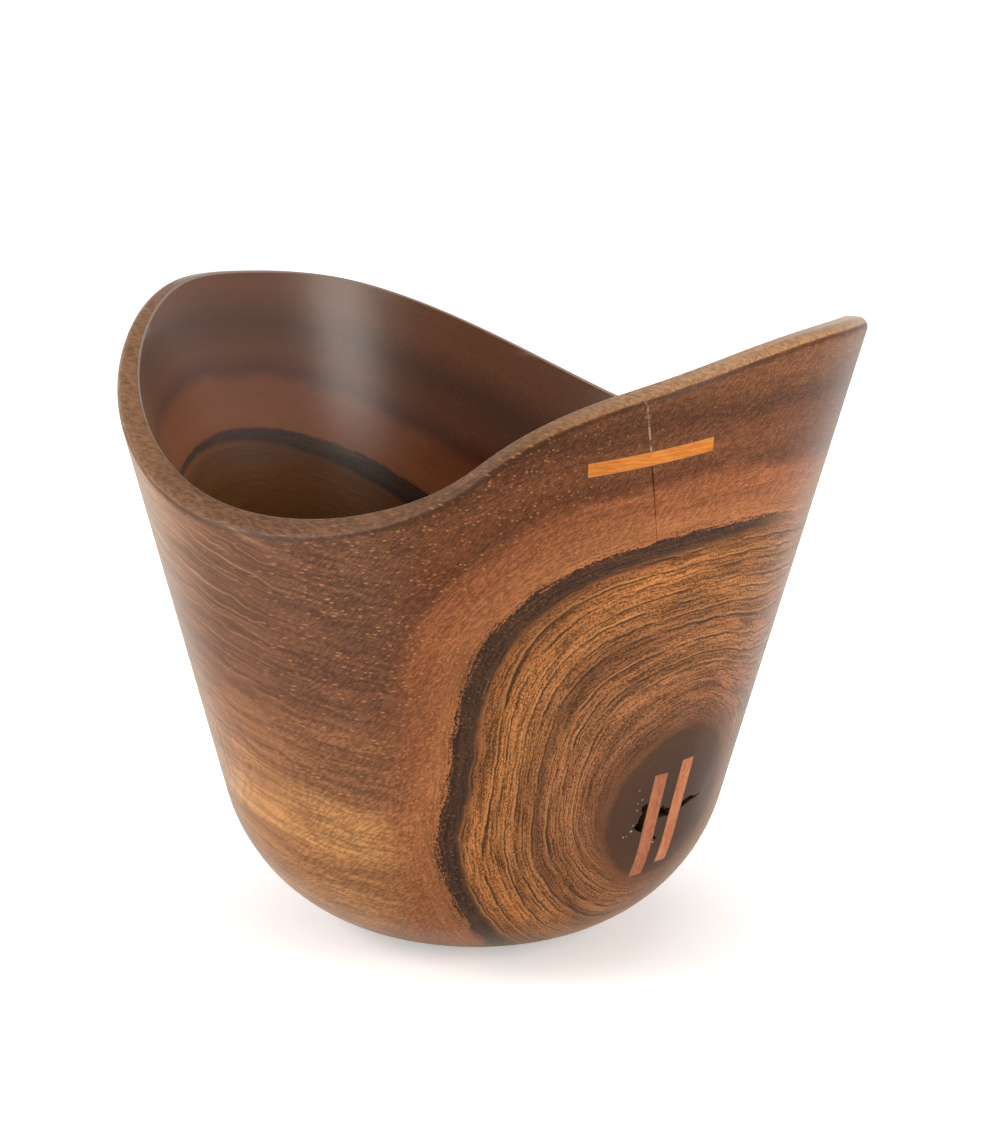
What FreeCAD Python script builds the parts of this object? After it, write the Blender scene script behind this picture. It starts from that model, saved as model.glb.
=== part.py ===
import FreeCAD, Part
import Sketcher
import math
import os

# Turned drinking cup of dark, figured wood, with a wave-cut rim and inlaid repairs.
# Millimetres. +Z is the turning axis, pointing up. The origin is the middle of the flat foot.
# The front, with the knot and the inlays, faces -Y. An azimuth is measured about +Z from the
# front (-Y) towards +X, so azimuth 90 is +X and azimuth 180 is the back (+Y).

doc = FreeCAD.newDocument("wooden_cup")
sheet = doc.addObject("Spreadsheet::Sheet", "sizes")

SIZES = {
    # turned outside form: flat foot, round corner, straight leaning wall
    "foot_level": 0.0,
    "corner_radius": 27.6,
    "corner_sink": 0.6,
    "blank_height": 104.0,
    "mouth_radius": 58.2,
    "wall_lean": 14.87,
    # turned hollow
    "floor_level": 6.0,
    "hollow_corner": 23.0,
    "hollow_sink": 0.05,
    "hollow_mouth": 54.9,
    "hollow_lean": 15.6,
    # how deep the inlays are let into the wall, and the glue round them
    "inlay_depth": 2.0,
    "glue_film": 0.12,
    # the lip leans outwards, most in its low places, and both its edges are eased
    "lip_slope": 0.55,
    "lip_outer_round": 1.4,
    "lip_inner_round": 0.35,
    # bar let in across the drying check, below the lip
    "key_length": 17.8,
    "key_width": 1.9,
    "key_azimuth": 25.8,
    "key_height": 77.6,
    "key_tilt": 7.3,
    # two upright strips let in across the open heart of the knot
    "stitch_length": 15.8,
    "stitch_width": 2.35,
    "left_stitch_azimuth": 41.3,
    "left_stitch_height": 22.4,
    "right_stitch_azimuth": 48.7,
    "right_stitch_height": 23.7,
    # the log's pith: it runs level through the wall, from the knot to the back left
    "pith_azimuth": 45.0,
    "pith_height": 24.4,
    "pith_heading": 50.1,
    # the drying check stands in a plane through the pith, leaning to the front
    "check_lean": 18.9,
    "check_width": 0.24,
    "check_foot_height": 77.0,
    "hairline_width": 0.16,
    "hairline_foot_width": 0.05,
    "hairline_overlap": 1.0,
    "hairline_depth": 1.0,
    "hairline_foot_height": 65.0,
    # open, ragged heart of the knot
    "void_azimuth": 46.0,
    "void_depth": 3.1,
}

# The lip's inner edge goes up and down twice round the cup: (azimuth, height) pairs.
RIM_STATIONS = (
    (0, 76.6), (12, 83.1), (28, 87.5), (40, 90.0), (52, 91.4), (66, 91.4), (79, 90.2),
    (90, 87.6), (105, 81.5), (121, 73.6), (138, 68.2), (156, 70.4), (180, 78.4), (205, 86.1),
    (225, 88.4), (240, 88.3), (251, 85.6), (262, 81.6), (273, 77.4), (286, 72.8), (301, 69.0),
    (326, 67.4), (346, 70.4),
)

for number, (azimuth, height) in enumerate(RIM_STATIONS, 1):
    SIZES[f"rim_azimuth_{number}"] = azimuth
    SIZES[f"rim_height_{number}"] = height
for row, (alias, value) in enumerate(SIZES.items(), 1):
    sheet.set(f"A{row}", alias)
    sheet.set(f"B{row}", str(value))
    sheet.setAlias(f"B{row}", alias)
doc.recompute()


def size(alias):
    """A driving dimension, read back from the sheet."""
    return float(getattr(sheet, alias))


def origin_plane(body, role):
    for feature in body.Origin.OriginFeatures:
        if feature.Role == role:
            return feature
    raise ValueError(role)


def new_sketch(body, name, role):
    sketch = body.newObject("Sketcher::SketchObject", name)
    sketch.AttachmentSupport = [(origin_plane(body, role), "")]
    sketch.MapMode = "FlatFace"
    return sketch


def bind(sketch, constraint, name, expression):
    """Adds a constraint and drives it from the sheet."""
    index = sketch.addConstraint(constraint)
    sketch.renameConstraint(index, name)
    sketch.setExpression(f"Constraints.{name}", expression)


def radial(azimuth, radius=1.0, height=0.0):
    """The point at an azimuth in degrees, a radius and a height."""
    turn = math.radians(azimuth)
    return FreeCAD.Vector(radius * math.sin(turn), -radius * math.cos(turn), height)


# ---------------------------------------------------------------- turned forms

START, END, CENTRE = 1, 2, 3
AXES, VERTICAL_AXIS = -1, -2


def turned_form(name, level, corner, sink, mouth, lean, inset="0"):
    """A solid of revolution: flat bottom, round corner, straight leaning wall, flat top.

    The sizes are aliases of the sheet. The corner's circle dips below the flat bottom by its
    sink. An inset moves the whole skin inwards.
    """
    lean_angle = math.radians(size(lean))
    top, bottom_height, radius = size("blank_height"), size(level), size(corner)
    centre_up = bottom_height + radius - size(sink)
    centre_out = size(mouth) - (top - centre_up) * math.tan(lean_angle)
    centre_out -= radius / math.cos(lean_angle)
    foot_turn = math.acos((radius - size(sink)) / radius) - math.pi / 2
    foot_out = centre_out + radius * math.cos(foot_turn)
    wall_foot = (centre_out + radius * math.cos(lean_angle),
                 centre_up - radius * math.sin(lean_angle))

    body = doc.addObject("PartDesign::Body", name)
    sketch = new_sketch(body, name + "_profile", "XZ_Plane")

    def line(start, end):
        segment = Part.LineSegment(FreeCAD.Vector(*start, 0), FreeCAD.Vector(*end, 0))
        return sketch.addGeometry(segment)

    circle = Part.Circle(FreeCAD.Vector(centre_out, centre_up, 0), FreeCAD.Vector(0, 0, 1), radius)
    bottom = line((0, bottom_height), (foot_out, bottom_height))
    curve = sketch.addGeometry(Part.ArcOfCircle(circle, foot_turn, -lean_angle))
    wall = line(wall_foot, (size(mouth), top))
    lid = line((size(mouth), top), (0, top))
    spine = line((0, top), (0, bottom_height))

    rule = Sketcher.Constraint
    sketch.addConstraint(rule("Coincident", bottom, END, curve, START))
    sketch.addConstraint(rule("Tangent", curve, END, wall, START))
    sketch.addConstraint(rule("Coincident", wall, END, lid, START))
    sketch.addConstraint(rule("Coincident", lid, END, spine, START))
    sketch.addConstraint(rule("Coincident", spine, END, bottom, START))
    sketch.addConstraint(rule("Horizontal", bottom))
    sketch.addConstraint(rule("Horizontal", lid))
    sketch.addConstraint(rule("Vertical", spine))
    sketch.addConstraint(rule("PointOnObject", spine, START, VERTICAL_AXIS))
    up = f"(sizes.{level} + sizes.{corner} - sizes.{sink})"
    angle = f"(sizes.{lean} * 1 deg)"
    bind(sketch, rule("Radius", curve, radius), "corner", f"sizes.{corner} - {inset}")
    bind(sketch, rule("DistanceX", AXES, START, curve, CENTRE, centre_out), "centre_out",
         f"sizes.{mouth} - (sizes.blank_height - {up}) * tan({angle})"
         f" - sizes.{corner} / cos({angle})")
    bind(sketch, rule("DistanceY", AXES, START, curve, CENTRE, centre_up), "centre_up", up)
    bind(sketch, rule("DistanceY", AXES, START, lid, START, top), "lid_height",
         "sizes.blank_height")
    bind(sketch, rule("DistanceY", AXES, START, bottom, END, bottom_height), "bottom_height",
         f"sizes.{level} + {inset}")
    bind(sketch, rule("DistanceX", AXES, START, lid, START, size(mouth)), "mouth",
         f"sizes.{mouth} - {inset} / cos({angle})")
    turning = body.newObject("PartDesign::Revolution", name + "_turning")
    turning.Profile = sketch
    turning.ReferenceAxis = (sketch, ["V_Axis"])
    turning.Angle = 360.0
    return body


def outside_form(name, inset="0"):
    return turned_form(name, "foot_level", "corner_radius", "corner_sink", "mouth_radius",
                       "wall_lean", inset)


def boolean(kind, name, base, tool):
    result = doc.addObject(kind, name)
    result.Base = base
    result.Tool = tool
    return result


outside = outside_form("outside_form")
hollow = turned_form("hollow_form", "floor_level", "hollow_corner", "hollow_sink",
                     "hollow_mouth", "hollow_lean")
blank = boolean("Part::Cut", "turned_blank", outside, hollow)
doc.recompute()


# ---------------------------------------------------------------- inlays and their glue

# A slab is laid flat against the wall: its own X runs round the cup, Y up and Z outwards.
SLAB_REACH = 16.0


def facing_wall(azimuth, height, tilt=0.0):
    """Placement of a slab whose middle is on the wall at an azimuth and a height."""
    outward = radial(azimuth)
    across = FreeCAD.Vector(-outward.y, outward.x, 0)
    upright = FreeCAD.Rotation(across, FreeCAD.Vector(0, 0, 1), outward, "ZXY")
    spin = FreeCAD.Rotation(FreeCAD.Vector(0, 0, 1), tilt)
    wall_drop = (size("blank_height") - height) * math.tan(math.radians(size("wall_lean")))
    start = radial(azimuth, size("mouth_radius") - wall_drop - SLAB_REACH / 2, height)
    return FreeCAD.Placement(start, upright.multiply(spin))


def slab(name, length, width, placement, margin="0"):
    """A rectangular bar of a length along X and a width along Y, grown all round by a margin."""
    body = doc.addObject("PartDesign::Body", name)
    sketch = new_sketch(body, name + "_outline", "XY_Plane")
    half_length, half_width = size(length) / 2, size(width) / 2
    corners = [(-half_length, -half_width), (half_length, -half_width),
               (half_length, half_width), (-half_length, half_width)]
    for start, end in zip(corners, corners[1:] + corners[:1]):
        sketch.addGeometry(Part.LineSegment(FreeCAD.Vector(*start, 0), FreeCAD.Vector(*end, 0)))
    rule = Sketcher.Constraint
    for side in range(4):
        sketch.addConstraint(rule("Coincident", side, END, (side + 1) % 4, START))
        sketch.addConstraint(rule("Horizontal" if side % 2 == 0 else "Vertical", side))
    sketch.addConstraint(rule("Symmetric", 0, START, 2, START, AXES, START))
    bind(sketch, rule("DistanceX", 0, START, 0, END, 2 * half_length), "long_side",
         f"sizes.{length} + 2 * {margin}")
    bind(sketch, rule("DistanceY", 1, START, 1, END, 2 * half_width), "short_side",
         f"sizes.{width} + 2 * {margin}")
    pad = body.newObject("PartDesign::Pad", name + "_pad")
    pad.Profile = sketch
    pad.Length = SLAB_REACH
    body.Placement = placement
    return body


inlay_floor = outside_form("inlay_floor_form", "sizes.inlay_depth")
glue_floor = outside_form("glue_floor_form", "(sizes.inlay_depth + sizes.glue_film)")
inlay_skin = boolean("Part::Cut", "inlay_skin", outside, inlay_floor)
pocket_skin = boolean("Part::Cut", "pocket_skin", outside, glue_floor)


def inlay(name, length, width, placement):
    """An inlaid bar flush with the wall, its pocket, and the film of glue between them."""
    bar = slab(name + "_bar", length, width, placement)
    opening = slab(name + "_opening", length, width, placement, "sizes.glue_film")
    piece = boolean("Part::Common", name, inlay_skin, bar)
    pocket = boolean("Part::Common", name + "_pocket", pocket_skin, opening)
    glue = boolean("Part::Cut", name + "_glue", pocket, piece)
    return piece, pocket, glue


key, key_pocket, key_glue = inlay(
    "crack_key", "key_length", "key_width",
    facing_wall(size("key_azimuth"), size("key_height"), size("key_tilt")))
left_stitch, left_pocket, left_glue = inlay(
    "knot_stitch_left", "stitch_width", "stitch_length",
    facing_wall(size("left_stitch_azimuth"), size("left_stitch_height")))
right_stitch, right_pocket, right_glue = inlay(
    "knot_stitch_right", "stitch_width", "stitch_length",
    facing_wall(size("right_stitch_azimuth"), size("right_stitch_height")))


# ---------------------------------------------------------------- drying check

# The tools that cut the check stand outside the pith's end by a gap, and reach outwards from it.
PITH_GAP = 1.0
CHECK_REACH = 15.0
CHECK_RISE = 14.0


def pith_frame():
    """The pith where it comes out of the wall, its heading, and up in the check's plane."""
    drop = (size("blank_height") - size("pith_height")) * math.tan(math.radians(size("wall_lean")))
    start = radial(size("pith_azimuth"), size("mouth_radius") - drop, size("pith_height"))
    heading = radial(180 + size("pith_heading"))
    lean = math.radians(size("check_lean"))
    sideways = heading.cross(FreeCAD.Vector(0, 0, 1))
    upward = FreeCAD.Vector(0, 0, math.cos(lean)) - sideways * math.sin(lean)
    return start, heading, upward


def in_check_plane(foot_height):
    """Placement with X along the pith, Y up the check and Z across it, at a foot height."""
    start, heading, upward = pith_frame()
    climb = (foot_height - size("pith_height")) / math.cos(math.radians(size("check_lean")))
    across = heading.cross(upward)
    foot = start - heading * (CHECK_REACH + PITH_GAP) + upward * climb
    return FreeCAD.Placement(foot, FreeCAD.Rotation(heading, upward, across, "ZXY"))


hairline = doc.addObject("Part::Wedge", "hairline_wedge")
hairline.Xmin = hairline.X2min = hairline.Ymin = hairline.Zmin = hairline.Z2min = 0
hairline.Xmax = hairline.X2max = CHECK_REACH
hairline.setExpression("Ymax", "sizes.check_foot_height - sizes.hairline_foot_height"
                               " + sizes.hairline_overlap")
hairline.setExpression("Zmax", "sizes.hairline_foot_width")
hairline.setExpression("Z2max", "sizes.hairline_width")
hairline.Placement = in_check_plane(size("hairline_foot_height"))

hairline_floor = outside_form("hairline_floor_form", "sizes.hairline_depth")
hairline_skin = boolean("Part::Cut", "hairline_skin", outside, hairline_floor)
hairline_slot = boolean("Part::Common", "hairline_slot", hairline_skin, hairline)


# ---------------------------------------------------------------- open heart of the knot

# Ragged outlines as they broke open, in millimetres round the cup and up it from the pith.
VOID_OUTLINE = (
    (-6.0, -1.7), (-5.2, -2.3), (-4.4, -2.7), (-4.1, -1.9), (-3.0, -1.5), (-1.5, -1.1),
    (0.5, -1.2), (2.0, -0.9), (3.6, -0.6), (4.7, -0.2), (6.4, 0.0), (7.7, 0.4),
    (6.0, 0.3), (5.1, 0.7), (3.9, 0.5), (2.4, 0.1), (0.4, -0.1), (-0.3, 0.3), (-0.7, 0.0),
    (-1.1, 0.8), (-1.6, 0.5), (-2.8, 1.2), (-4.3, 1.9), (-5.4, 1.4), (-5.3, 0.4), (-5.5, -1.0),
)
PINHOLE_OUTLINE = ((-1.7, -3.9), (-1.6, -4.4), (-1.0, -4.6), (-1.1, -4.0))


def ragged_void():
    body = doc.addObject("PartDesign::Body", "void_prism")
    sketch = new_sketch(body, "void_outline", "XY_Plane")
    for outline in (VOID_OUTLINE, PINHOLE_OUTLINE):
        first = sketch.GeometryCount
        count = len(outline)
        for start, end in zip(outline, outline[1:] + outline[:1]):
            side = Part.LineSegment(FreeCAD.Vector(*start, 0), FreeCAD.Vector(*end, 0))
            sketch.addGeometry(side)
        for step in range(count):
            sketch.addConstraint(Sketcher.Constraint(
                "Coincident", first + step, END, first + (step + 1) % count, START))
    pad = body.newObject("PartDesign::Pad", "void_pad")
    pad.Profile = sketch
    pad.Length = SLAB_REACH
    body.Placement = facing_wall(size("void_azimuth"), size("pith_height"))
    return body


void_floor = outside_form("void_floor_form", "sizes.void_depth")
void_skin = boolean("Part::Cut", "void_skin", outside, void_floor)
void_hollow = boolean("Part::Common", "void_hollow", void_skin, ragged_void())

openings = doc.addObject("Part::MultiFuse", "let_in_openings")
openings.Shapes = [key_pocket, left_pocket, right_pocket, hairline_slot, void_hollow]
let_in_blank = boolean("Part::Cut", "let_in_blank", blank, openings)


# ---------------------------------------------------------------- wave-cut lip

CUTTER_NEAR, CUTTER_FAR, CUTTER_RISE = 20.0, 75.0, 60.0


def lip_cutter():
    """Everything above the lip: a ruled sheet between two closed waves, swept upwards."""
    stations = [(size(f"rim_azimuth_{number}"), size(f"rim_height_{number}"))
                for number in range(1, len(RIM_STATIONS) + 1)]
    heights = [height for _, height in stations]
    lowest, highest = min(heights), max(heights)
    hollow_tangent = math.tan(math.radians(size("hollow_lean")))
    waves = []
    for reach in (CUTTER_NEAR, CUTTER_FAR):
        points = []
        for azimuth, height in stations:
            edge_radius = size("hollow_mouth") - (size("blank_height") - height) * hollow_tangent
            slope = size("lip_slope") * (highest - height) / (highest - lowest)
            points.append(radial(azimuth, reach, height + slope * (edge_radius - reach)))
        turns = [azimuth / 360 for azimuth, _ in stations] + [1.0]
        wave = Part.BSplineCurve()
        wave.interpolate(Points=points, PeriodicFlag=True, Parameters=turns)
        waves.append(wave.toShape())
    sheet_face = Part.makeRuledSurface(waves[0], waves[1])
    return sheet_face.extrude(FreeCAD.Vector(0, 0, CUTTER_RISE))


cutter = doc.addObject("Part::Feature", "lip_cutter")
cutter.Shape = lip_cutter()
wave_cut = boolean("Part::Cut", "wave_cut_blank", let_in_blank, cutter)
doc.recompute()


NEAR_HOLLOW = 1.0


def lip_roundings(shape):
    """(edge number, radius, radius) for the lip face's outer and inner edges."""
    lip = max((face for face in shape.Faces if face.Surface.TypeId == "Part::GeomBSplineSurface"),
              key=lambda face: face.Area)
    chosen = []
    for number, edge in enumerate(shape.Edges, 1):
        on_lip = any(edge.isSame(other) for other in lip.Edges)
        if not on_lip or edge.isSeam(lip):
            continue
        middle = edge.valueAt((edge.FirstParameter + edge.LastParameter) / 2)
        drop = size("blank_height") - middle.z
        inside = size("hollow_mouth") - drop * math.tan(math.radians(size("hollow_lean")))
        on_hollow = math.hypot(middle.x, middle.y) < inside + NEAR_HOLLOW
        rounding = size("lip_inner_round") if on_hollow else size("lip_outer_round")
        chosen.append((number, rounding, rounding))
    return chosen


eased_cup = doc.addObject("Part::Fillet", "eased_cup")
eased_cup.Base = wave_cut
eased_cup.Edges = lip_roundings(wave_cut.Shape)
doc.recompute()


# ---------------------------------------------------------------- finished cup and its pieces

blade = doc.addObject("Part::Box", "check_blade")
blade.Length = CHECK_REACH
blade.Width = CHECK_RISE
blade.setExpression("Height", "sizes.check_width")
blade.Placement = in_check_plane(size("check_foot_height"))
check_filler = boolean("Part::Common", "crack_filler", eased_cup, blade)
cup = boolean("Part::Cut", "cup_body", eased_cup, blade)

PIECES = (cup, key, key_glue, check_filler, left_stitch, left_glue, right_stitch, right_glue)

doc.recompute()
for thing in doc.Objects:
    if "Invalid" in thing.State or "Error" in thing.State:
        raise RuntimeError(f"{thing.Name} failed to compute")
for piece in PIECES:
    if piece.Shape.isNull() or not piece.Shape.isValid():
        raise RuntimeError(f"{piece.Label} has no sound shape")

os.makedirs("parts", exist_ok=True)
for piece in PIECES:
    piece.Shape.exportStep(f"parts/{piece.Label}.step")
    box = piece.Shape.BoundBox
    print(f"{piece.Label}: {piece.Shape.Volume:.1f} mm3, {len(piece.Shape.Solids)} solid(s),"
          f" {box.XLength:.1f} x {box.YLength:.1f} x {box.ZLength:.1f} mm,"
          f" from z {box.ZMin:.2f} to {box.ZMax:.2f}")
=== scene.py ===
import bmesh
import bpy
import math
import random
from mathutils import Matrix, Vector
from mathutils.bvhtree import BVHTree


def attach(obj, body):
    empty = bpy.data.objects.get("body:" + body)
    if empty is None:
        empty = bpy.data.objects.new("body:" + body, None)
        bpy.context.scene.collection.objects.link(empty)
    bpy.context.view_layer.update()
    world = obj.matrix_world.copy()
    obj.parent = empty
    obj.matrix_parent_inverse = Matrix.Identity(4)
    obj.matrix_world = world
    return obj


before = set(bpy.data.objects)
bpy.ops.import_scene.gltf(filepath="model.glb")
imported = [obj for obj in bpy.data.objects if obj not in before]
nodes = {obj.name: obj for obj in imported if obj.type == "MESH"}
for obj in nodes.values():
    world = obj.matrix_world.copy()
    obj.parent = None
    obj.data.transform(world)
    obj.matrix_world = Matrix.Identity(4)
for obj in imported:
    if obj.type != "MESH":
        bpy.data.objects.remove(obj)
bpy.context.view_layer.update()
scene = bpy.context.scene

MM = 0.001

# The log that the cup was turned from. Its pith comes out through the front wall, in the knot.
PITH = Vector((26.2, -26.2, 24.4)) * MM
LOG_HEADING = Vector((-0.767, 0.641, 0.0))
LOG_SIDE = Vector((0.641, 0.767, 0.0))

# The straight part of the outer wall, seen in section.
MOUTH_RADIUS = 58.2
MOUTH_HEIGHT = 104.0
WALL_LEAN = math.radians(14.87)


# ---------------------------------------------------------------- node wiring

class Wiring:
    """Lays nodes into one node tree. An input is a socket, a number, a vector or a colour."""

    def __init__(self, tree):
        self.tree = tree

    def node(self, kind, inputs=None, **settings):
        made = self.tree.nodes.new(kind)
        for name, value in settings.items():
            setattr(made, name, value)
        for name, value in (inputs or {}).items():
            self.feed(made.inputs[name], value)
        return made

    def feed(self, socket, value):
        if value is None:
            return
        if isinstance(value, bpy.types.NodeSocket):
            self.tree.links.new(value, socket)
        else:
            socket.default_value = value

    def math(self, operation, a, b=None, c=None, clamp=False):
        made = self.node("ShaderNodeMath", {0: a, 1: b, 2: c}, operation=operation, use_clamp=clamp)
        return made.outputs[0]

    def vector(self, operation, a, b=None):
        made = self.node("ShaderNodeVectorMath", {0: a, 1: b}, operation=operation)
        return made.outputs["Value" if operation in ("DOT_PRODUCT", "LENGTH", "DISTANCE") else "Vector"]

    def product(self, *factors):
        result = factors[0]
        for factor in factors[1:]:
            result = self.math("MULTIPLY", result, factor)
        return result

    def stretch(self, vector, shares):
        return self.vector("MULTIPLY", vector, shares)

    def join(self, x, y, z):
        return self.node("ShaderNodeCombineXYZ", {"X": x, "Y": y, "Z": z}).outputs[0]

    def split(self, vector):
        return self.node("ShaderNodeSeparateXYZ", {0: vector}).outputs

    def ease(self, value, start, end, low=0.0, high=1.0):
        """Goes smoothly from low to high while value goes from start to end."""
        settings = {"Value": value, 1: start, 2: end, 3: low, 4: high}
        return self.node("ShaderNodeMapRange", settings, interpolation_type="SMOOTHSTEP").outputs[0]

    def noise(self, vector, w=0.0, scale=1.0, detail=1.0, roughness=0.5):
        made = self.node("ShaderNodeTexNoise", noise_dimensions="4D")
        settings = {"Vector": vector, "W": w, "Scale": scale, "Detail": detail, "Roughness": roughness}
        for name, value in settings.items():
            self.feed(made.inputs[name], value)
        return made.outputs["Fac"]

    def swing(self, vector, reach, **settings):
        """Noise from about minus reach to plus reach."""
        return self.math("MULTIPLY_ADD", self.noise(vector, **settings), reach * 2.0, -reach)

    def blend(self, factor, a, b, mode="MIX"):
        """Mixes two colours, each a socket or a plain tone of red, green and blue."""
        made = self.node("ShaderNodeMix", data_type="RGBA", blend_type=mode)
        self.feed(made.inputs[0], factor)
        for index, colour in ((6, a), (7, b)):
            plain = not isinstance(colour, bpy.types.NodeSocket)
            self.feed(made.inputs[index], (*colour, 1.0) if plain else colour)
        return made.outputs[2]

    def shade(self, colour, gain):
        """Makes a colour darker where the gain is under one, and lighter where it is over."""
        return self.blend(1.0, colour, self.join(gain, gain, gain), "MULTIPLY")

    def ramp(self, distance, reach, stops):
        """Colours along a distance. Each stop is a distance from 0 to reach, and a tone."""
        made = self.node("ShaderNodeValToRGB", {0: self.math("DIVIDE", distance, reach)})
        elements = made.color_ramp.elements
        while len(elements) < len(stops):
            elements.new(1.0)
        for element, (place, tone) in zip(elements, stops):
            element.position = place / reach
            element.color = (*tone, 1.0)
        return made.outputs[0]


SOCKETS = {"value": "NodeSocketFloat", "vector": "NodeSocketVector", "colour": "NodeSocketColor"}


def effect(name, inputs, outputs, lay):
    """One shared effect as a shader node group. lay(wiring, inputs) returns its outputs by name."""
    tree = bpy.data.node_groups.new(name, "ShaderNodeTree")
    for label, (kind, default) in inputs.items():
        socket = tree.interface.new_socket(label, in_out="INPUT", socket_type=SOCKETS[kind])
        socket.default_value = default
    for label, kind in outputs.items():
        tree.interface.new_socket(label, in_out="OUTPUT", socket_type=SOCKETS[kind])
    wiring = Wiring(tree)
    entry = wiring.node("NodeGroupInput")
    leave = wiring.node("NodeGroupOutput")
    for label, result in lay(wiring, entry.outputs).items():
        wiring.feed(leave.inputs[label], result)
    return tree


def use(wiring, group, **inputs):
    """Places a shared effect in a material, with its own values."""
    made = wiring.node("ShaderNodeGroup", node_tree=group)
    for name, value in inputs.items():
        wiring.feed(made.inputs[name.replace("_", " ")], value)
    return made.outputs


# ---------------------------------------------------------------- shared effects

RING_OFFSET = 0.36      # how far the rings' centres climb, for each millimetre of radius
BLACK_RING = 31.5       # millimetres from the pith

# The log wasn't round. Its girth, then its bulges: how many round it, cosine share, sine share.
NEAR_GIRTH = 1.08
NEAR_BULGES = ((1, 0.018, 0.101), (2, -0.032, 0.091), (3, -0.159, -0.115), (4, 0.063, -0.050),
               (5, 0.007, 0.054))
FAR_GIRTH = 1.05
FAR_BULGES = ((1, -0.031, 0.002), (2, -0.061, -0.024))


def girth_round(wiring, angle, girth, bulges):
    """The log's girth at an angle about the pith, as a share of a round one."""
    total = girth
    for turns, cosine_share, sine_share in bulges:
        turned = wiring.math("MULTIPLY", angle, float(turns))
        total = wiring.math("MULTIPLY_ADD", wiring.math("COSINE", turned), cosine_share, total)
        total = wiring.math("MULTIPLY_ADD", wiring.math("SINE", turned), sine_share, total)
    return total


def lay_log_place(wiring, given):
    """Where a point lies in the log: along it, across it, up it, and its growth ring."""
    in_metres = wiring.vector("SUBTRACT", given["Position"], tuple(PITH))
    scaled = wiring.node("ShaderNodeVectorMath", {0: in_metres, "Scale": 1.0 / MM}, operation="SCALE")
    from_pith = scaled.outputs["Vector"]
    along = wiring.vector("DOT_PRODUCT", from_pith, tuple(LOG_HEADING))
    across = wiring.vector("DOT_PRODUCT", from_pith, tuple(LOG_SIDE))
    up = wiring.split(from_pith)[2]
    # Rings that grew faster on the upper side: circles whose centres climb as they widen.
    spread = 1.0 - RING_OFFSET ** 2
    flat = wiring.math("MULTIPLY", across, across)
    whole = wiring.math("MULTIPLY_ADD", up, up, flat)
    climb = wiring.math("MULTIPLY", up, RING_OFFSET)
    root = wiring.math("SQRT", wiring.math("MULTIPLY_ADD", climb, climb,
                                           wiring.math("MULTIPLY", whole, spread)))
    radius = wiring.math("DIVIDE", wiring.math("SUBTRACT", root, climb), spread)
    angle = wiring.math("ARCTAN2", across, wiring.math("MULTIPLY_ADD", radius, -RING_OFFSET, up))
    near = girth_round(wiring, angle, NEAR_GIRTH, NEAR_BULGES)
    far = girth_round(wiring, angle, FAR_GIRTH, FAR_BULGES)
    passed = wiring.ease(along, 22.0, 45.0)
    girth = wiring.math("MULTIPLY_ADD", wiring.math("SUBTRACT", far, near), passed, near)
    grown = wiring.ease(radius, 6.0, 28.0)
    shape = wiring.math("MULTIPLY_ADD", wiring.math("SUBTRACT", girth, 1.0), grown, 1.0)
    ring = wiring.math("DIVIDE", radius, shape)
    return {"Along": along, "Across": across, "Up": up, "Ring": ring, "Angle": angle}


LOG_PLACE = effect(
    "log_place",
    {"Position": ("vector", (0.0, 0.0, 0.0))},
    {"Along": "value", "Across": "value", "Up": "value", "Ring": "value", "Angle": "value"},
    lay_log_place,
)


def lay_growth_lines(wiring, given):
    """Thin dark lines, one each growth spurt, unevenly spaced and broken here and there."""
    drift = wiring.noise((0.0, 0.0, 0.0), w=wiring.math("MULTIPLY", given["Ring"], 0.3))
    even_count = wiring.math("DIVIDE", given["Ring"], given["Spacing"])
    count = wiring.math("MULTIPLY_ADD", drift, 4.0, even_count)
    phase = wiring.math("FRACT", count)
    rise = wiring.ease(phase, 0.78, 0.92)
    fall = wiring.ease(phase, 0.93, 1.0, 1.0, 0.0)
    own_seed = wiring.math("MULTIPLY", wiring.math("FLOOR", count), 3.7)
    breaks = wiring.noise(wiring.stretch(given["Place"], (0.22, 0.22, 0.05)), w=own_seed)
    kept = wiring.ease(breaks, 0.36, 0.50)
    return {"Line": wiring.product(rise, fall, kept)}


GROWTH_LINES = effect(
    "growth_lines",
    {"Ring": ("value", 0.0), "Spacing": ("value", 1.3), "Place": ("vector", (0.0, 0.0, 0.0))},
    {"Line": "value"},
    lay_growth_lines,
)


def lay_vessels(wiring, given):
    """Pores that run along the log: dots where it is cut across, dashes where it is cut along."""
    stretched = wiring.stretch(given["Place"], (1.0, 1.0, 0.25))
    cells = wiring.node("ShaderNodeTexVoronoi", {"Vector": stretched, "Scale": given["Density"]})
    hole = wiring.ease(cells.outputs["Distance"], 0.16, 0.36, 1.0, 0.0)
    chance = wiring.split(cells.outputs["Color"])
    open_pore = wiring.math("GREATER_THAN", given["Share"], chance[0])
    return {"Pore": wiring.math("MULTIPLY", hole, open_pore), "Tone": chance[1]}


VESSELS = effect(
    "vessels",
    {"Place": ("vector", (0.0, 0.0, 0.0)), "Density": ("value", 1.5), "Share": ("value", 0.5)},
    {"Pore": "value", "Tone": "value"},
    lay_vessels,
)


def lay_fibres(wiring, given):
    """Fine lengthwise fibres and slow colour drift of a split strip of wood."""
    stretched = wiring.stretch(given["Position"], given["Stretch"])
    fine = wiring.noise(stretched, scale=1.0, detail=3.0, roughness=0.65)
    slow = wiring.noise(stretched, w=7.0, scale=0.22, detail=1.0)
    return {"Fine": fine, "Slow": slow}


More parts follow.
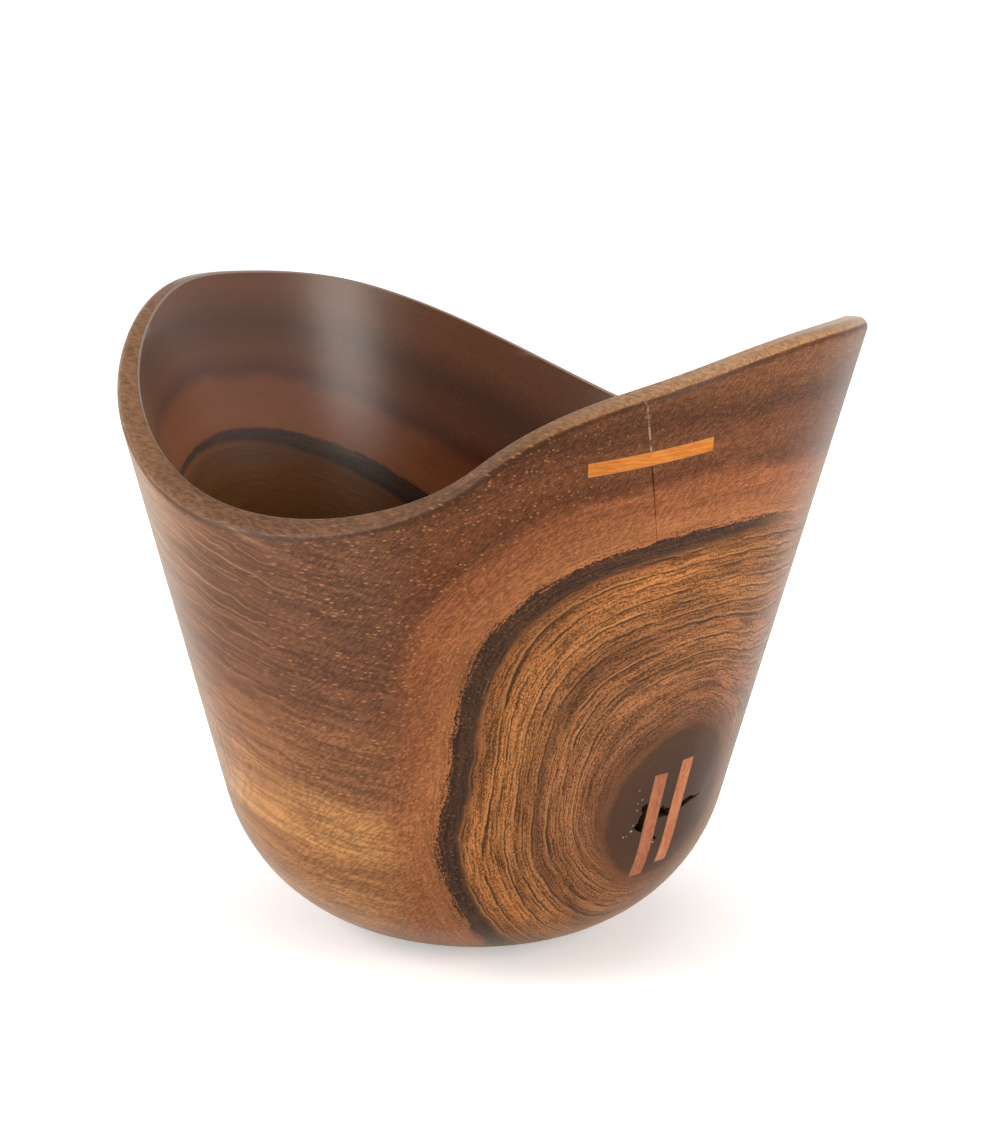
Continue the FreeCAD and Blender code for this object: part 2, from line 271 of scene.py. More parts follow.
FIBRES = effect(
    "fibres",
    {"Position": ("vector", (0.0, 0.0, 0.0)), "Stretch": ("vector", (1000.0, 1000.0, 1000.0))},
    {"Fine": "value", "Slow": "value"},
    lay_fibres,
)


def lay_grains(wiring, given):
    """Fine uneven grains of dust or dried glue."""
    return {"Grain": wiring.noise(given["Position"], scale=given["Fineness"], detail=3.0, roughness=0.7)}


GRAINS = effect(
    "grains",
    {"Position": ("vector", (0.0, 0.0, 0.0)), "Fineness": ("value", 1000.0)},
    {"Grain": "value"},
    lay_grains,
)


# ---------------------------------------------------------------- tones

# A tone is red, green and blue. Colours from the pith outwards, each with its distance in millimetres.
RING_REACH = 100.0
RING_COLOURS = (
    (0.0, (0.200, 0.078, 0.036)),
    (11.5, (0.215, 0.085, 0.036)),
    (16.0, (0.250, 0.100, 0.039)),
    (21.0, (0.260, 0.102, 0.037)),
    (25.0, (0.320, 0.126, 0.040)),
    (28.0, (0.345, 0.130, 0.036)),
    (29.5, (0.280, 0.105, 0.034)),
    (33.4, (0.345, 0.126, 0.047)),
    (35.2, (0.305, 0.103, 0.038)),
    (37.0, (0.280, 0.092, 0.034)),
    (38.6, (0.130, 0.043, 0.016)),
    (41.0, (0.180, 0.062, 0.024)),
    (44.5, (0.105, 0.038, 0.016)),
    (48.0, (0.190, 0.072, 0.030)),
    (54.0, (0.160, 0.062, 0.028)),
    (60.0, (0.210, 0.082, 0.036)),
    (72.0, (0.170, 0.068, 0.032)),
    (90.0, (0.190, 0.076, 0.036)),
)

# Colours of the level grain on the left, from the foot upwards, each with its height in millimetres.
LEVEL_REACH = 70.0
LEVEL_COLOURS = (
    (0.0, (0.240, 0.095, 0.034)),
    (5.0, (0.330, 0.132, 0.047)),
    (9.0, (0.400, 0.185, 0.068)),
    (13.5, (0.310, 0.132, 0.049)),
    (18.0, (0.480, 0.225, 0.078)),
    (24.0, (0.440, 0.200, 0.074)),
    (30.0, (0.260, 0.108, 0.046)),
    (37.0, (0.185, 0.074, 0.035)),
    (45.0, (0.155, 0.062, 0.031)),
    (60.0, (0.165, 0.070, 0.036)),
)
# Painted highlight towards the far left edge of the outer wall.
LEFT_EDGE_HIGHLIGHT_TONE = (0.400, 0.210, 0.100)
PALE_ARC_TONE = (0.62, 0.340, 0.140)

KNOT_SKIRT_TONE = (0.120, 0.050, 0.024)
KNOT_TONES = ((0.060, 0.034, 0.021), (0.082, 0.038, 0.020))            # middle, edge
DARK_GROWTH_TONE = (0.035, 0.017, 0.010)
PALE_GROWTH_TONE = (0.600, 0.290, 0.100)
DARK_SEASON_TONE = (0.075, 0.030, 0.014)
BLACK_RING_TONES = ((0.026, 0.015, 0.010), (0.085, 0.040, 0.020))      # dark, pale
DARK_PORE_TONE = (0.050, 0.022, 0.012)
FILLED_PORE_TONES = ((0.60, 0.255, 0.085), (0.22, 0.115, 0.055))       # in brown wood, in black
# Lip tones: its own paler end grain, lit by painted light towards the right crest.
LIP_TONES = ((0.370, 0.190, 0.095), (0.56, 0.325, 0.165))              # dark, pale
# Painted shade on the lip towards the left.
SHADED_LIP_TONES = ((0.095, 0.043, 0.023), (0.220, 0.105, 0.052))      # dark, pale
# Painted shade: the dark line where the lip turns down.
ARRIS_SHADE_TONE = (0.060, 0.028, 0.015)
# Painted highlight along the inner edge of the lip.
INNER_EDGE_HIGHLIGHT_TONE = (0.520, 0.430, 0.370)
TORN_TONES = ((0.006, 0.004, 0.003), (0.090, 0.038, 0.016))            # dark, pale

# Painted shade on the inside: what the wood's colour is multiplied by there, for brown wood, golden wood,
# and low down.
INSIDE_BROWN_PAINTED_SHADE = (0.90, 0.77, 0.64)
INSIDE_GOLDEN_PAINTED_SHADE = (0.46, 0.40, 0.16)
INSIDE_LOW_PAINTED_SHADE = (0.14, 0.14, 0.09)


# ---------------------------------------------------------------- the cup's wood

KNOT_REACH = 12.0                  # millimetres
KNOT_SHIFT = (-1.2, -1.0, 0.0)     # takes the knot's middle to the log's middle
GROWTH_SPACING = 1.35              # millimetres between growth lines
LEVEL_SPACING = 1.5                # millimetres between the pale arcs on the left
DARK_SEASON_RING = 21.6            # millimetres from the pith
PORE_DENSITY = 2.1                 # pores in a millimetre
BUMP_DISTANCE = 0.0001


def new_material(name):
    """A material with its wiring, its shader and its texture coordinates."""
    material = bpy.data.materials.new(name)
    material.use_nodes = True
    wiring = Wiring(material.node_tree)
    shader = material.node_tree.nodes["Principled BSDF"]
    coordinates = wiring.node("ShaderNodeTexCoord").outputs
    return material, wiring, shader, coordinates


def add_bump(wiring, shader, strength, height):
    bump = wiring.node("ShaderNodeBump", {"Strength": strength, "Distance": BUMP_DISTANCE, "Height": height})
    wiring.feed(shader.inputs["Normal"], bump.outputs[0])


def wall_depth(wiring, position):
    """How deep a point lies behind the outer wall's straight face, in millimetres."""
    x, y, z = wiring.split(position)
    radius = wiring.vector("LENGTH", wiring.join(x, y, 0.0))
    slope = math.tan(WALL_LEAN)
    face = wiring.math("MULTIPLY_ADD", z, slope, (MOUTH_RADIUS - MOUTH_HEIGHT * slope) * MM)
    depth = wiring.math("SUBTRACT", face, radius)
    return wiring.math("MULTIPLY", depth, math.cos(WALL_LEAN) / MM)


def inner_face(wiring, position, normal):
    """1 on faces that look towards the turning axis, 0 on those that look away from it."""
    x, y, _ = wiring.split(position)
    outward = wiring.vector("NORMALIZE", wiring.join(x, y, 0.0))
    return wiring.ease(wiring.vector("DOT_PRODUCT", normal, outward), -0.10, -0.45)


class CupWood:
    """Oiled heartwood of one log. Each layer paints over the colour that the layers before it left."""

    def __init__(self):
        self.material, self.wiring, self.shader, coordinates = new_material("oiled_heartwood")
        wiring = self.wiring
        self.position = coordinates["Object"]
        self.x, self.y, self.z = wiring.split(self.position)
        self.facing_up = wiring.split(coordinates["Normal"])[2]
        self.inside = inner_face(wiring, self.position, coordinates["Normal"])
        self.by_the_lip = wiring.ease(self.z, 0.058, 0.062)
        minus_x = wiring.math("MULTIPLY_ADD", self.x, -1.0 / MM, -5.0)
        self.leftward = wiring.math("MAXIMUM", minus_x, 0.0)
        self.place_in_log()

    def place_in_log(self):
        """The growth ring at each point, bent by long sweeps, short wobbles and a fine ripple."""
        wiring = self.wiring
        self.log = use(wiring, LOG_PLACE, Position=self.position)
        self.turn = wiring.math("SINE", self.log["Angle"])
        self.place = wiring.join(self.log["Across"], self.log["Up"], self.log["Along"])
        self.slow_place = wiring.stretch(self.place, (1.0, 1.0, 0.5))
        sweep = wiring.swing(self.slow_place, 0.4, scale=0.07, detail=0.0)
        self.wobble = wiring.swing(self.slow_place, 0.30, w=3.0, scale=0.32, detail=1.0)
        long_place = wiring.stretch(self.place, (1.0, 1.0, 0.12))
        self.ripple = wiring.swing(long_place, 0.17, w=9.0, scale=1.4, detail=1.0)
        self.ring = wiring.math("ADD", self.log["Ring"], wiring.math("ADD", sweep, self.wobble))
        self.line_ring = wiring.math("MULTIPLY_ADD", self.ripple, 0.5, self.ring)

        middle = wiring.stretch(wiring.vector("ADD", self.place, KNOT_SHIFT), (1.0, 1.0, 0.0))
        bend = wiring.math("MULTIPLY", wiring.math("ADD", self.wobble, self.ripple), 1.6)
        self.from_knot = wiring.math("ADD", wiring.vector("LENGTH", middle), bend)
        clear_of_knot = wiring.ease(self.from_knot, KNOT_REACH - 2.0, KNOT_REACH + 3.0, 0.12, 1.0)
        rubbed_inside = wiring.math("MULTIPLY_ADD", self.inside, -0.75, 1.0)
        self.crisp = wiring.product(clear_of_knot, rubbed_inside)

    def paint(self, share, tone):
        self.colour = self.wiring.blend(share, self.colour, tone)

    def lay_zones(self):
        """Slow changes of colour from the pith outwards."""
        wiring = self.wiring
        drift = wiring.swing(self.slow_place, 1.2, w=21.0, scale=0.12, detail=1.0)
        self.colour = wiring.ramp(wiring.math("ADD", self.ring, drift), RING_REACH, RING_COLOURS)

    def lay_knot(self):
        """A smooth dusky knot with a darker, redder skirt."""
        wiring = self.wiring
        skirt = wiring.ease(self.from_knot, KNOT_REACH + 4.0, KNOT_REACH, 0.0, 0.62)
        self.paint(skirt, KNOT_SKIRT_TONE)
        knot = wiring.ease(self.from_knot, KNOT_REACH, KNOT_REACH - 1.3)
        self.paint(knot, wiring.blend(wiring.ease(self.from_knot, 3.0, KNOT_REACH), *KNOT_TONES))

    def lay_level_grain(self):
        """On the left the grain runs level, in shallow arcs that climb towards the side."""
        wiring = self.wiring
        arc = wiring.product(self.leftward, self.leftward, -0.006)
        height = wiring.math("MULTIPLY_ADD", self.z, 1.0 / MM, arc)
        level = wiring.math("ADD", height, wiring.product(self.wobble, 3.0))
        bands = wiring.noise(wiring.stretch(self.position, (22.0, 22.0, 0.0)),
                             w=wiring.product(level, 0.30), detail=3.0)
        banded = wiring.math("MULTIPLY_ADD", wiring.math("SUBTRACT", bands, 0.5), 22.0, level)
        tone = wiring.ramp(banded, LEVEL_REACH, LEVEL_COLOURS)
        # Painted highlight: paler towards the far left edge of the wall.
        tone = wiring.blend(wiring.ease(self.leftward, 29.0, 41.0, 0.0, 0.6), tone, LEFT_EDGE_HIGHLIGHT_TONE)
        streaks = wiring.noise(wiring.stretch(self.position, (90.0, 90.0, 0.0)),
                               w=wiring.product(level, 1.7), detail=2.0)
        tone = wiring.shade(tone, wiring.ease(streaks, 0.38, 0.62, 0.80, 1.22))

        in_front = wiring.ease(self.y, 0.014, 0.002)
        well_left = wiring.product(wiring.ease(self.leftward, 12.0, 17.0), in_front)
        beyond = wiring.math("MAXIMUM", wiring.ease(self.ring, 32.8, 35.5), well_left)
        outside = wiring.math("SUBTRACT", 1.0, self.inside)
        self.on_left = wiring.product(beyond, wiring.ease(self.leftward, 0.0, 10.0),
                                      wiring.ease(self.y, 0.034, 0.008), outside)
        self.paint(self.on_left, tone)

        arcs = use(wiring, GROWTH_LINES, Ring=wiring.math("MULTIPLY_ADD", self.ripple, 0.3, level),
                   Spacing=LEVEL_SPACING, Place=self.place)["Line"]
        share = wiring.product(self.on_left, wiring.ease(self.leftward, 15.0, 29.0, 0.0, 0.26),
                               wiring.ease(self.z, 0.046, 0.060, 1.0, 1.7))
        self.paint(wiring.product(arcs, share), PALE_ARC_TONE)

    def lay_growth_bands(self):
        """Dark and pale bands of the growth: long rows, short dashes and broad seasons."""
        wiring = self.wiring
        rippled = wiring.math("ADD", self.ring, self.ripple)
        rows = wiring.noise(wiring.stretch(self.place, (0.24, 0.24, 0.05)),
                            w=wiring.product(rippled, 7.6), detail=0.0)
        dashes = wiring.noise(wiring.stretch(self.place, (3.4, 3.4, 0.40)),
                              w=wiring.product(rippled, 9.0), detail=0.0)
        self.fine = wiring.math("MULTIPLY_ADD", rows, 0.48, wiring.product(dashes, 0.52))
        seasons = wiring.noise(wiring.stretch(self.place, (0.06, 0.06, 0.02)),
                               w=wiring.product(self.ring, 0.5), detail=1.0)
        fine_gain = wiring.ease(self.fine, 0.38, 0.62, 0.44, 1.56)
        season_gain = wiring.ease(seasons, 0.34, 0.66, 0.74, 1.22)
        change = wiring.math("SUBTRACT", wiring.product(fine_gain, season_gain), 1.0)
        calm = wiring.product(wiring.ease(self.ring, 30.0, 34.0, 1.0, 0.34),
                              wiring.math("MULTIPLY_ADD", self.on_left, -0.7, 1.0))
        change = wiring.product(change, self.crisp, calm)
        self.colour = wiring.shade(self.colour, wiring.math("ADD", change, 1.0))

    def lay_growth_lines(self):
        """Thin dark growth lines inside the black ring, each with a golden line beside it."""
        wiring = self.wiring
        golden_zone = wiring.product(wiring.ease(self.ring, 13.0, 18.0),
                                     wiring.ease(self.ring, 30.0, 31.5, 1.0, 0.0))
        share = wiring.product(golden_zone, self.crisp, 0.9)
        beside_ring = wiring.math("SUBTRACT", self.line_ring, 0.24)
        for ring, tone, strength in ((beside_ring, PALE_GROWTH_TONE, 0.45),
                                     (self.line_ring, DARK_GROWTH_TONE, None)):
            lines = use(wiring, GROWTH_LINES, Ring=ring, Spacing=GROWTH_SPACING, Place=self.place)["Line"]
            drawn = wiring.product(lines, share)
            self.paint(wiring.product(drawn, strength) if strength else drawn, tone)

    def lay_slanting_ripples(self):
        """Outside the black ring: fine slanting ripples across the grain."""
        wiring = self.wiring
        climbing = wiring.math("SUBTRACT", self.z, self.x)
        along = wiring.product(wiring.math("ADD", self.z, self.x), 0.28)
        flecks = wiring.noise(wiring.stretch(wiring.join(climbing, along, 0.0), (2500.0, 2500.0, 0.0)),
                              w=wiring.product(self.log["Along"], 0.5), detail=1.0)
        share = wiring.product(self.crisp, wiring.ease(self.ring, 32.0, 34.5),
                               wiring.ease(self.leftward, 15.0, 27.0, 1.0, 0.15))
        self.paint(share, wiring.shade(self.colour, wiring.ease(flecks, 0.43, 0.57, 0.80, 1.20)))

    def lay_dark_season(self):
        """One dark season halfway out, strongest on the left."""
        wiring = self.wiring
        off = wiring.math("ABSOLUTE", wiring.math("SUBTRACT", self.ring, DARK_SEASON_RING))
        left_turn = wiring.ease(self.turn, -0.2, -0.8)
        self.paint(wiring.product(wiring.ease(off, 0.9, 0.2), left_turn, 0.40), DARK_SEASON_TONE)

    def lay_black_ring(self):
        """The black ring, thicker low on the front and high at the back, and worn in places."""
        wiring = self.wiring
        along, angle = self.log["Along"], self.log["Angle"]
        change = wiring.math("MULTIPLY_ADD", along, 1.0 / 35.0, -1.0)
        half = wiring.math("MULTIPLY_ADD", wiring.product(self.turn, change), 0.56, 0.68)
        middle = wiring.math("SUBTRACT", BLACK_RING + 0.5, half)
        off = wiring.math("SUBTRACT", self.line_ring, middle)
        tooth = wiring.math("MULTIPLY_ADD", self.inside, -1.5, 1.8)
        ragged = wiring.math("MULTIPLY_ADD", wiring.math("SUBTRACT", self.fine, 0.5), tooth, off)
        inner_edge = wiring.ease(wiring.math("ADD", ragged, half), -0.45, 0.30)
        outer_edge = wiring.ease(wiring.math("SUBTRACT", ragged, half), -0.2, 0.25, 1.0, 0.0)
        fade = wiring.product(wiring.ease(along, 30.0, 42.0), wiring.ease(angle, -0.75, -1.0))
        worn = wiring.product(wiring.ease(self.turn, 0.0, 0.60), wiring.ease(along, 45.0, 30.0, 0.0, 0.55))
        unfaded = wiring.math("MULTIPLY_ADD", fade, -0.94, 0.95)
        left_over = wiring.math("SUBTRACT", unfaded, worn, clamp=True)
        self.black = wiring.product(inner_edge, outer_edge, left_over)
        self.paint(self.black, wiring.blend(wiring.ease(self.fine, 0.35, 0.7), *BLACK_RING_TONES))

    def lay_pores(self):
        """Pores: dark in the golden wood, filled with pale gold outside it and in the black ring."""
        wiring = self.wiring
        pores = use(wiring, VESSELS, Place=wiring.vector("ADD", self.place, (0.3, 0.1, 0.0)),
                    Density=PORE_DENSITY, Share=0.8)
        self.pore = pores["Pore"]
        golden = wiring.ease(self.ring, 29.0, 30.5, 1.0, 0.0)
        self.paint(wiring.product(self.pore, golden, self.crisp, 0.55), DARK_PORE_TONE)
        filled = wiring.product(self.pore, wiring.ease(self.ring, 29.0, 31.0), self.crisp,
                                wiring.ease(pores["Tone"], 0.1, 1.0, 0.10, 0.70),
                                wiring.ease(self.leftward, 13.0, 29.0, 1.0, 0.35),
                                wiring.ease(self.x, 0.004, 0.024, 1.0, 0.45))
        self.paint(filled, wiring.blend(self.black, *FILLED_PORE_TONES))

    def lay_lip(self):
        """The lip is cut across the fibres: a paler, dustier band, partly its own end grain and partly
        painted light where it faces up and towards the right crest, with painted shade towards the left and
        a painted dark line of shade where it turns down.
        """
        wiring = self.wiring
        lip = wiring.product(wiring.ease(self.facing_up, 0.38, 0.50), self.by_the_lip)
        streaks = wiring.noise(wiring.stretch(self.place, (2.6, 2.6, 0.9)), w=41.0, detail=1.0)
        streaks = wiring.ease(streaks, 0.36, 0.64)
        # Painted light: the up-facing lip is paler towards the right crest.
        lit_towards_crest = wiring.ease(self.x, -0.004, 0.032, 0.10, 0.92)
        self.paint(wiring.product(lip, lit_towards_crest), wiring.blend(streaks, *LIP_TONES))
        # Painted shade: the lip is darker towards the left.
        shaded_towards_left = wiring.ease(self.x, -0.002, -0.026, 0.0, 0.62)
        self.paint(wiring.product(lip, shaded_towards_left), wiring.blend(streaks, *SHADED_LIP_TONES))
        # Painted shade: a dark line where the lip turns down from the top.
        arris_shade = wiring.product(wiring.ease(self.facing_up, 0.40, 0.28),
                               wiring.ease(self.facing_up, -0.10, 0.10), self.by_the_lip,
                               wiring.math("MULTIPLY_ADD", self.inside, -0.6, 0.6))
        self.paint(arris_shade, ARRIS_SHADE_TONE)

    def lay_inside(self):
        """Painted shade darkens the inside, most of all low down, and a painted highlight makes its upper
        edge pale.
        """
        wiring = self.wiring
        # Painted shade: the inside's colour is multiplied darker, most of all low down.
        share = wiring.blend(wiring.ease(self.ring, 31.6, 29.6), INSIDE_BROWN_PAINTED_SHADE, INSIDE_GOLDEN_PAINTED_SHADE)
        share = wiring.blend(wiring.ease(self.z, 0.048, 0.028), share, INSIDE_LOW_PAINTED_SHADE)
        self.paint(self.inside, wiring.blend(1.0, self.colour, share, "MULTIPLY"))
        # Painted highlight: the upward-facing inner rounding of the lip is painted pale.
        self.paint(wiring.product(self.inside, self.by_the_lip,
                                  wiring.ease(self.facing_up, 0.22, 0.50, 0.0, 0.55)), INNER_EDGE_HIGHLIGHT_TONE)

    def lay_torn_heart(self):
        """Torn, dark wood inside the open check in the knot."""
        wiring = self.wiring
        depth = wall_depth(wiring, self.position)
        near = wiring.ease(wiring.vector("LENGTH", self.place), 12.0, 14.0, 1.0, 0.0)
        above_bend = wiring.ease(self.log["Up"], -6.6, -5.6)
        self.torn = wiring.product(wiring.ease(depth, 0.2, 0.8), near, above_bend,
                                   wiring.ease(depth, 3.5, 3.8, 1.0, 0.0))
        self.splinters = wiring.noise(wiring.stretch(self.place, (1.6, 0.9, 0.5)), w=31.0, detail=3.0)
        self.paint(self.torn, wiring.blend(wiring.ease(self.splinters, 0.52, 0.70), *TORN_TONES))

    def oil(self):
        """Satin oil finish: pores and dark bands are a little duller, and hands have rubbed it."""
        wiring, shader = self.wiring, self.shader
        wiring.feed(shader.inputs["Base Color"], self.colour)
        dull = wiring.math("MULTIPLY_ADD", self.pore, 0.12, wiring.ease(self.fine, 0.3, 0.7, 0.44, 0.36))
        dull = wiring.math("MULTIPLY_ADD", self.torn, 0.5, dull, clamp=True)
        wiring.feed(shader.inputs["Roughness"], dull)
        shader.inputs["Specular IOR Level"].default_value = 0.14
        glance = wiring.node("ShaderNodeLayerWeight", {"Blend": 0.5}).outputs["Facing"]
        rubbed_inside = wiring.product(self.inside, wiring.ease(self.z, 0.045, 0.070, 0.10, 0.70))
        rubbed = wiring.math("MAXIMUM", wiring.ease(glance, 0.48, 0.90, 0.0, 0.85), rubbed_inside)
        wiring.feed(shader.inputs["Coat Weight"], rubbed)
        shader.inputs["Coat Roughness"].default_value = 0.28
        shader.inputs["Sheen Weight"].default_value = 0.25
        shader.inputs["Sheen Roughness"].default_value = 0.26
        shader.inputs["Sheen Tint"].default_value = (1.0, 0.78, 0.45, 1.0)
        relief = wiring.product(self.crisp, wiring.math("MULTIPLY_ADD", self.pore, -0.6, self.fine))
        relief = wiring.math("MULTIPLY_ADD", self.torn, wiring.product(self.splinters, 3.0), relief)
        add_bump(wiring, shader, 0.35, relief)


def cup_wood():
    """Grey knot, golden rings, a black ring, then red-brown wood."""
    wood = CupWood()
    wood.lay_zones()
    wood.lay_knot()
    wood.lay_level_grain()
    wood.lay_growth_bands()
    wood.lay_growth_lines()
    wood.lay_slanting_ripples()
    wood.lay_dark_season()
    wood.lay_black_ring()
    wood.lay_pores()
    wood.lay_lip()
    wood.lay_inside()
    wood.lay_torn_heart()
    wood.oil()
    return wood.material


# ---------------------------------------------------------------- the repairs' materials

KEY_STRETCH = (350.0, 900.0, 4200.0)         # fibres along the level bar
STITCH_STRETCH = (4200.0, 4200.0, 260.0)     # fibres along the upright strips


def strip_wood(name, stretch, dark, light, roughness):
    """Split strip for a key or a stitch: straight fine fibres along its length."""
    material, wiring, shader, coordinates = new_material(name)
    fibres = use(wiring, FIBRES, Position=coordinates["Object"], Stretch=stretch)
    tone = wiring.math("MULTIPLY_ADD", fibres["Fine"], 0.7, wiring.product(fibres["Slow"], 0.3))
    wiring.feed(shader.inputs["Base Color"], wiring.blend(wiring.ease(tone, 0.35, 0.65), dark, light))
    dull = wiring.ease(tone, 0.3, 0.7, roughness + 0.06, roughness - 0.04)
    wiring.feed(shader.inputs["Roughness"], dull)
    shader.inputs["Specular IOR Level"].default_value = 0.2
    add_bump(wiring, shader, 0.25, tone)
    return material


def grainy_fill(name, dark, light, grain, roughness):
    """Set glue or wood-dust filler: fine uneven grains, their size in millimetres."""
    material, wiring, shader, coordinates = new_material(name)
    grains = use(wiring, GRAINS, Position=coordinates["Object"], Fineness=1.0 / (grain * MM))["Grain"]
    wiring.feed(shader.inputs["Base Color"], wiring.blend(wiring.ease(grains, 0.40, 0.62), dark, light))
    shader.inputs["Roughness"].default_value = roughness
    add_bump(wiring, shader, 0.4, grains)
    return material


def finish_node(node, material):
    """A CAD node keeps its shape and takes a finished material."""
    obj = nodes[node]
    obj.data.materials.clear()
    obj.data.materials.append(material)


finish_node("cup_body", cup_wood())
finish_node("crack_key", strip_wood("orange_key_wood", KEY_STRETCH,
                                    (0.52, 0.150, 0.018), (0.74, 0.270, 0.040), 0.42))
finish_node("crack_filler", grainy_fill("wood_dust_filler",
                                        (0.080, 0.040, 0.022), (0.42, 0.225, 0.110), 0.9, 0.55))
finish_node("knot_stitch_left", strip_wood("salmon_stitch_wood", STITCH_STRETCH,
                                           (0.30, 0.095, 0.045), (0.50, 0.180, 0.085), 0.45))
finish_node("knot_stitch_right", strip_wood("pale_salmon_stitch_wood", STITCH_STRETCH,
                                            (0.40, 0.125, 0.050), (0.60, 0.235, 0.105), 0.45))
glue = grainy_fill("set_glue_line", (0.040, 0.020, 0.012), (0.10, 0.05, 0.028), 0.30, 0.40)
for seam in ("crack_key_glue", "knot_stitch_left_glue", "knot_stitch_right_glue"):
    finish_node(seam, glue)


# ---------------------------------------------------------------- small loose bits

KNOT_AZIMUTH = math.radians(-45.0)
KNOT_WALL_RADIUS = 37.0
FLATTENED = 0.55            # a crumb's height as a share of its width

# Dried glue crumbs about the knot: millimetres round the wall and up it from the pith, then radius.
CRUMBS = ((-5.8, 4.3, 0.132), (-5.0, 2.7, 0.156), (-5.6, 2.2, 0.108), (-5.5, 1.1, 0.144),
          (-5.6, -1.3, 0.120), (-7.0, -2.9, 0.156), (-6.4, -2.9, 0.120), (-5.8, -2.2, 0.168),
          (-0.9, -5.0, 0.204))

# Torn splinters in the open knot: both ends round and up, then how deep they lie, in millimetres.
SPLINTERS = ((-4.7, -0.6, -3.1, 0.5, 0.9), (-3.8, -1.7, -2.4, -0.3, 1.2), (-0.7, -0.9, 0.5, 0.3, 1.3),
             (1.7, 0.3, 3.2, 1.2, 1.0))
SPLINTER_WIDTH = 0.16

# A chip of torn fibre at the check, just under the lip.
CHIP_AZIMUTH = math.radians(-66.4)
CHIP_HEIGHT = 83.4
CHIP_RADIUS = 0.30
CHIP_STRETCH = 1.5


def surface_finder():
    """The finished cup's faces, to drop small bits onto."""
    body = nodes["cup_body"]
    corners = [body.matrix_world @ vertex.co for vertex in body.data.vertices]
    return BVHTree.FromPolygons(corners, [tuple(face.vertices) for face in body.data.polygons])


def on_wall(finder, around, height):
    """The point on the outer wall at an azimuth and a height, and the way out of the wood."""
    outward = Vector((math.cos(around), math.sin(around), 0.0))
    well_clear = outward * 80.0 * MM + Vector((0.0, 0.0, height))
    point, normal, _, _ = finder.ray_cast(well_clear, -outward)
    return point, normal


def by_knot(finder, round_mm, up_mm):
    """The point on the outer wall at millimetres round it and up it from the pith."""
    around = KNOT_AZIMUTH + round_mm / KNOT_WALL_RADIUS
    return on_wall(finder, around, PITH.z + up_mm * MM * math.cos(WALL_LEAN))


def add_lump(mesh, centre, normal, radius, rng, stretch):
    """An uneven crumb, flattened against the surface that it sits on."""
    turn = normal.to_track_quat("Z", "Y").to_matrix().to_4x4()
    shape = Matrix.Diagonal((stretch, 1.0, FLATTENED, 1.0))
    made = bmesh.ops.create_icosphere(mesh, subdivisions=2, radius=radius)
    for vertex in made["verts"]:
        vertex.co *= rng.uniform(0.80, 1.15)
        vertex.co = Matrix.Translation(centre) @ turn @ shape @ vertex.co


def add_splinter(mesh, start, end, width, normal):
    """A thin tapered sliver from start to end."""
    run = end - start
    side = run.cross(normal).normalized() * width
    rise = normal.normalized() * width * 0.7
    middle = start + run * 0.45
    tips = [mesh.verts.new(start), mesh.verts.new(end)]
    belt = [mesh.verts.new(middle + offset) for offset in (side, rise, -side, -rise)]
    for index, vertex in enumerate(belt):
        after = belt[(index + 1) % 4]
        mesh.faces.new((tips[0], after, vertex))
        mesh.faces.new((tips[1], vertex, after))


def add_piece(name, mesh, material):
    """Turns a loose mesh into a named piece that rides on the cup."""
    data = bpy.data.meshes.new(name)
    bmesh.ops.recalc_face_normals(mesh, faces=mesh.faces)
    mesh.to_mesh(data)
    mesh.free()
    data.materials.append(material)
    piece = bpy.data.objects.new(name, data)
    scene.collection.objects.link(piece)
    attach(piece, "root")


def scatter_crumbs(finder, rng):
    dried = grainy_fill("dried_glue_crumb", (0.22, 0.14, 0.09), (0.46, 0.32, 0.21), 0.2, 0.6)
    crumbs = bmesh.new()
    for round_mm, up_mm, radius in CRUMBS:
        point, normal = by_knot(finder, round_mm, up_mm)
        add_lump(crumbs, point, normal, radius * MM, rng, rng.uniform(1.0, 1.5))
    add_piece("dried_glue_crumbs", crumbs, dried)


def tear_splinters(torn):
    outward = Vector((math.cos(KNOT_AZIMUTH), math.sin(KNOT_AZIMUTH), 0.0))
    across = Vector((-outward.y, outward.x, 0.0))
    up_wall = outward * math.sin(WALL_LEAN) + Vector((0.0, 0.0, math.cos(WALL_LEAN)))
    slivers = bmesh.new()
    for round_from, up_from, round_to, up_to, depth in SPLINTERS:
        middle = PITH - outward * depth * MM
        start = middle + across * round_from * MM + up_wall * up_from * MM
        end = middle + across * round_to * MM + up_wall * up_to * MM
        add_splinter(slivers, start, end, SPLINTER_WIDTH * MM, outward)
    add_piece("void_splinters", slivers, torn)


def chip_lip(finder, rng, torn):
    chips = bmesh.new()
    point, normal = on_wall(finder, CHIP_AZIMUTH, CHIP_HEIGHT * MM)
    add_lump(chips, point, normal, CHIP_RADIUS * MM, rng, CHIP_STRETCH)
    add_piece("lip_chip", chips, torn)


def scatter_bits():
    """Crumbs first, then the chip, so that they share one run of random draws."""
    finder = surface_finder()
    rng = random.Random(4)
    scatter_crumbs(finder, rng)
    torn = grainy_fill("torn_fibre", (0.16, 0.055, 0.018), (0.42, 0.150, 0.045), 0.3, 0.7)
    tear_splinters(torn)
    chip_lip(finder, rng, torn)


scatter_bits()


# ---------------------------------------------------------------- camera, floor and light

CAMERA_TILT = math.radians(14.0)
CAMERA_DISTANCE = 0.4285714
CAMERA_ROLL = 0.0146
AIM = Vector((0.0034, 0.0, 0.0524))
LENS_LENGTH = 96.0854       # millimetres, before a sensor 36 millimetres wide
SENSOR_WIDTH = 36.0
LIT_POINT = Vector((0.0, 0.0, 0.045))
WHITE = (1.0, 1.0, 1.0, 1.0)
FLOOR_REACH = 3.0


